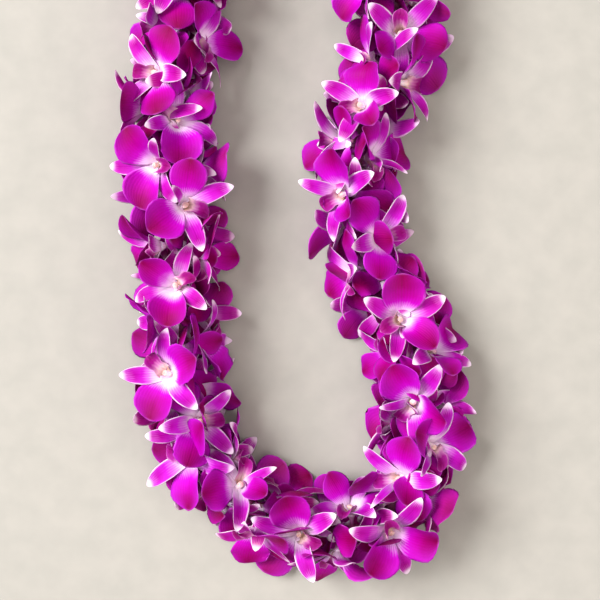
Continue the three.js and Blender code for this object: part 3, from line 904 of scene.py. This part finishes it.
def run_tree(name, tree, mesh, sizes):
    """A plain mesh object made by a tree; sizes maps its inputs' identifiers to values."""
    source = bpy.data.objects.new(name + "_ribs", mesh)
    bpy.context.scene.collection.objects.link(source)
    modifier = source.modifiers.new("tree", "NODES")
    modifier.node_group = tree
    for identifier, value in sizes.items():
        modifier[identifier] = value
    evaluated = source.evaluated_get(bpy.context.evaluated_depsgraph_get())
    made = bpy.data.meshes.new_from_object(evaluated)
    made.name = name
    piece = bpy.data.objects.new(name, made)
    bpy.context.scene.collection.objects.link(piece)
    source.modifiers.remove(modifier)
    bpy.data.objects.remove(source)
    for spare in [a.name for a in made.attributes if a.name in SPARE]:
        made.attributes.remove(made.attributes[spare])
    return piece


# %% [markdown]
# ## Half-shut blooms in between
# Blooms near the string are pressed half shut by the ones over them, and only their petals show,
# in shade between the open faces, with painted shade in their colour too. Each open bloom has two
# of them beside it.

# %% Place the half-shut blooms
# A layer is its turn round the string from the open bloom, the range of its faces' distance from
# the string, and the share of their length that its petals keep.
TUCKED_BLADES = [(PETAL, 66), (SEPAL, 180), (PETAL, 294)]
TUCKED_LAYERS = [(70, (5, 8.5), 0.82), (-55, (8.5, 12), 0.86)]


def place_tucked(i, turn, faces, shorter):
    """A half-shut bloom beside open bloom i, scattered like it."""
    bloom = posed(
        i * PITCH + looks.uniform(-3, 3),
        AROUND_STEP * i + turn + looks.uniform(-25, 25),
        looks.uniform(-30, 30),
        looks.uniform(0, 2 * math.pi),
    )
    bloom["size"] = looks.uniform(0.85, 1.0)
    bloom["face"] = looks.uniform(*faces)
    bloom["blades"] = [
        {
            "form": form,
            "azimuth": azimuth,
            "open": looks.uniform(-6, 8),
            "length": form["length"] * shorter,
            "twist": looks.uniform(-0.5, 0.5),
        }
        for form, azimuth in TUCKED_BLADES
    ]
    return bloom


tucked = [[place_tucked(i, *layer) for layer in TUCKED_LAYERS] for i in range(BLOOMS)]
print(len(tucked) * len(TUCKED_LAYERS), "half-shut blooms placed")

# %% Columns and necks, which the tucked petals should miss
STALK_SIDES = 6


def stalk(rings):
    """The skin of a column or a neck, as a search tree, and its centre."""
    turns = np.radians(np.arange(0, 360, 360 / STALK_SIDES))
    across = rings["side"][:, None] * np.cos(turns)[:, None]
    upwards = (rings["face"] * rings["thickness"][:, None])[:, None] * np.sin(turns)[:, None]
    grid = rings["rib"][:, None] + across + upwards
    pairs = [(k, (k + 1) % STALK_SIDES) for k in range(STALK_SIDES)]
    quads = [
        (first + k, first + after, first + STALK_SIDES + after, first + STALK_SIDES + k)
        for first in range(0, STALK_SIDES * (len(grid) - 1), STALK_SIDES)
        for k, after in pairs
    ]
    return BVHTree.FromPolygons(grid.reshape(-1, 3).tolist(), quads), grid.mean((0, 1))


for bloom in blooms:
    for rings in (column_rings(bloom, 0), neck_rings(bloom, 0)):
        tree, centre = stalk(rings)
        placed_trees.append(tree)
        placed_centres.append(centre)
print(2 * BLOOMS, "columns and necks to miss")

# %% Settle the tucked petals
# A petal that crosses others by seven faces or more in every way tried is left out. The colour
# of the others starts a quarter of the way out, past the white throat, and is their open bloom's
# made redder and darker: painted shade, where they lie under the open blooms. None is bent more
# than 14 degrees further shut.
TUCKED_EASES = (0.8, 0.3)
TUCKED_ROOT = 0.25
TUCKED_PAINTED_SHADE = 0.3
TOO_MANY = 7
TUCKED_BENDS = BENDS[BENDS[:, 0] >= -14]
for i, layer in [(i, layer) for layer in range(len(TUCKED_LAYERS)) for i in range(BLOOMS)]:
    bloom = tucked[i][layer]
    for blade in bloom["blades"]:
        tint = min(1, blooms[i]["age"] + TUCKED_PAINTED_SHADE)
        settle(bloom, blade, TUCKED_BENDS, TUCKED_EASES, tint, TUCKED_ROOT, TOO_MANY)
    bloom["blades"] = [blade for blade in bloom["blades"] if "rings" in blade]
met = [blade["met"] for pair in tucked for bloom in pair for blade in bloom["blades"]]
touch = sum(m > 0 for m in met)
print(f"{len(met)} tucked blades kept; {touch} touch another, by {sum(met)} faces")

# %% [markdown]
# ## Dress every pair
# Each pair of blooms becomes one piece, which stands for that pair's solid and rides on the same
# body. A bloom's tint is its own, so neighbours on the string differ a little in age.

# %% Make the blooms
POINTS_ROUND = 14
triangles = 0
for n in range(BLOOMS // BLOOMS_PER_NODE):
    ribs = []
    for i in range(n * BLOOMS_PER_NODE, (n + 1) * BLOOMS_PER_NODE):
        age = blooms[i]["age"]
        ribs += [column_rings(blooms[i], age), neck_rings(blooms[i], age), core_rings(i, age)]
        ribs += [blade["rings"] for bloom in [blooms[i], *tucked[i]] for blade in bloom["blades"]]
        ribs += [neck_rings(bloom, age) for bloom in tucked[i] if bloom["blades"]]
    name = f"blooms_{n + 1:02d}"
    sizes = {points_id: POINTS_ROUND, lowest_id: LOWEST}
    piece = run_tree(name, sweep, line_mesh(name + "_lines", ribs), sizes)
    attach(piece, "root")
    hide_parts(f"bloom_pair_{n + 1:02d}")
    triangles += sum(len(p.vertices) - 2 for p in piece.data.polygons)
materials = [material.name for material in piece.data.materials]
print(f"{triangles} triangles in the blooms; the last has materials", materials)

# %% [markdown]
# ## The string
# Lei string is soft cotton yarn, three strands twisted together. Each strand is a fine line wound
# round the route, swept with a small round section, and the twist closes on itself at the knot.

# %% Twist three strands along the route
STRANDS = 3
STRAND_RADIUS = 0.43
STRAND_OFFSET = 0.45
TWISTS = 190
STRAND_POINTS = 950
STRAND_SIDES = 5


def strand(which):
    """Points of one strand, wound round the string's axis."""
    rows = []
    for k in range(STRAND_POINTS):
        point, _, side = station(lengths[-1] * k / STRAND_POINTS)
        angle = 2 * math.pi * (TWISTS * k / STRAND_POINTS + which / STRANDS)
        rows.append(point + STRAND_OFFSET * (side * math.cos(angle) + UP * math.sin(angle)) + shift)
    return np.array(rows) / 1000


strands = [strand(which) for which in range(STRANDS)]
print(len(strands), "strands of", STRAND_POINTS, "points")

# %% Cotton yarn
# Cotton: dull, soft and off-white; its fibres run along the strand and catch no highlight.
cotton_yarn, nodes = new_material("twisted_cotton_yarn")
fibres = noise(nodes, add(nodes, "ShaderNodeTexCoord").outputs["Object"], 2600, 3.0)
shade = add(nodes, "ShaderNodeValToRGB", {"Fac": fibres})
set_ramp(shade, [(0.3, "#cfc6b2"), (0.6, "#efe9dc")])
matt = add(nodes, "ShaderNodeBsdfPrincipled", {
    "Base Color": shade.outputs["Color"], "Roughness": 0.9, "Sheen Weight": 0.3,
    "Normal": bumped(nodes, fibres, 0.0002, 0.8),
}).outputs[0]
add(nodes, "ShaderNodeOutputMaterial", {"Surface": matt})
print("material:", cotton_yarn.name)

# %% The tree that sweeps yarn
yarn, inside, (radius_id, sides_id) = new_tree("sweep yarn", [
    ("Strand Radius", "NodeSocketFloat"), ("Sides", "NodeSocketInt"),
])
tubes = swept(yarn, inside["Geometry"], circle(yarn, inside["Sides"], inside["Strand Radius"]))
spun = made_of(yarn, smooth_and_real(yarn, tubes), cotton_yarn)
add(yarn, "NodeGroupOutput", {"Geometry": spun})
print("tree:", yarn.name, len(yarn.nodes), "nodes")

# %% Make the string and its knot
# The knot is a trefoil drawn tight in the gap between the first core and the last, with the
# string's two trimmed ends beside it.
KNOT_POINTS = 72
KNOT_SCALE = (0.48, 0.48, 0.75)  # across, up and along the string
TAIL_POINTS = 7
knot_centre, knot_along, knot_side = station(-PITCH / 2)
turns = np.linspace(0, 2 * math.pi, KNOT_POINTS, endpoint=False)
trefoil = (
    np.sin(turns) + 2 * np.sin(2 * turns),
    np.cos(turns) - 2 * np.cos(2 * turns),
    -np.sin(3 * turns),
)
frame_axes = np.stack([knot_side, UP, knot_along])
knot = (knot_centre + (np.stack(trefoil, 1) * KNOT_SCALE) @ frame_axes + shift) / 1000
# Each end comes out beside the knot, rises 2.2 mm and turns over towards its tip.
tails = []
reach = np.linspace(0, 1, TAIL_POINTS)[:, None]
for hand in (-1, 1):
    tail = knot_centre + UP * (0.8 + 2.2 * reach)
    tail = tail + knot_side * hand * (0.6 + 2.4 * reach - 0.8 * reach**2)
    tails.append((tail + knot_along * 0.6 * hand * reach + shift) / 1000)
closed = [*strands, knot]
points, edges = [], []
for number, line in enumerate(closed + tails):
    first = len(points)
    points += line.tolist()
    edges += [(first + k, first + k + 1) for k in range(len(line) - 1)]
    if number < len(closed):
        edges.append((len(points) - 1, first))
yarn_lines = bpy.data.meshes.new("yarn_lines")
yarn_lines.from_pydata(points, edges, [])
sizes = {radius_id: STRAND_RADIUS / 1000, sides_id: STRAND_SIDES}
twisted = run_tree("twisted_string", yarn, yarn_lines, sizes)
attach(twisted, "root")
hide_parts("string")
print("string:", len(twisted.data.polygons), "faces")

# %% [markdown]
# ## Floor, light and camera
# The lei lies on a plain pale floor. Wide soft lights, strongest from the left, shape the petals
# without hard shadows. The camera looks straight down, over the middle of what is worn in front.

# %% The floor
FLOOR_HALF = 4
floor_mesh = bpy.data.meshes.new("floor")
signs = ((-1, -1), (1, -1), (1, 1), (-1, 1))
corners = [(FLOOR_HALF * x, FLOOR_HALF * y, 0) for x, y in signs]
floor_mesh.from_pydata(corners, [], [(0, 1, 2, 3)])
floor_object = bpy.data.objects.new("floor", floor_mesh)
bpy.context.scene.collection.objects.link(floor_object)
pale_board, board = new_material("matt_pale_board")
grain = noise(board, add(board, "ShaderNodeTexCoord").outputs["Object"], 60, 2.0)
shade = add(board, "ShaderNodeValToRGB", {"Fac": grain})
set_ramp(shade, [(0.3, "#98958e"), (0.7, "#9e9a93")])
matt = add(board, "ShaderNodeBsdfPrincipled", {
    "Base Color": shade.outputs["Color"], "Roughness": 0.8,
}).outputs[0]
add(board, "ShaderNodeOutputMaterial", {"Surface": matt})
floor_mesh.materials.append(pale_board)
print("floor:", 2 * FLOOR_HALF, "m square, of", pale_board.name)

# %% Lights


def softbox(name, place, aim, size, power, tone):
    """A square area light at a place, turned to its aim."""
    light = bpy.data.lights.new(name, "AREA")
    light.shape, light.size, light.energy, light.color = "SQUARE", size, power, colour(tone)[:3]
    lamp = bpy.data.objects.new(name, light)
    bpy.context.scene.collection.objects.link(lamp)
    lamp.location = place
    back = unit(np.array(place) - np.array(aim))
    lamp.rotation_euler = (math.acos(back[2]), 0, math.atan2(back[1], back[0]) + math.pi / 2)


middle = (shift[0] / 1000, shift[1] / 1000)
softbox("window", (middle[0] - 3.2, middle[1] + 1.4, 3.4), (*middle, 0), 2.7, 515, "#ffffff")
softbox("ceiling", (middle[0] + 0.3, middle[1] + 0.2, 2.6), (*middle, 0), 2.4, 40, "#fff8f0")
softbox("door", (middle[0] + 2.6, middle[1] - 2.2, 1.8), (*middle, 0), 2.4, 90, "#fff4ec")
world = bpy.data.worlds.new("room")
bpy.context.scene.world = world
world.use_nodes = True
background = world.node_tree.nodes["Background"].inputs
background["Color"].default_value = colour("#eef0f4")
background["Strength"].default_value = 0.24
bpy.context.scene.view_settings.view_transform = "Standard"

# %% Camera
# From 0.65 m away the frame is 412 mm wide, and about 417 mm at the height of the string.
VIEW_HALF_WIDTH = 0.206
VIEW_DISTANCE = 0.65
camera_data = bpy.data.cameras.new("from above")
camera_data.sensor_width = 36
camera_data.lens = camera_data.sensor_width / 2 / (VIEW_HALF_WIDTH / VIEW_DISTANCE)
camera = bpy.data.objects.new("from above", camera_data)
camera.location = (*middle, 0.68)  # above the floor
bpy.context.scene.collection.objects.link(camera)
bpy.context.scene.camera = camera
print("lens", round(camera_data.lens, 1), "mm at", tuple(round(v, 3) for v in camera.location))
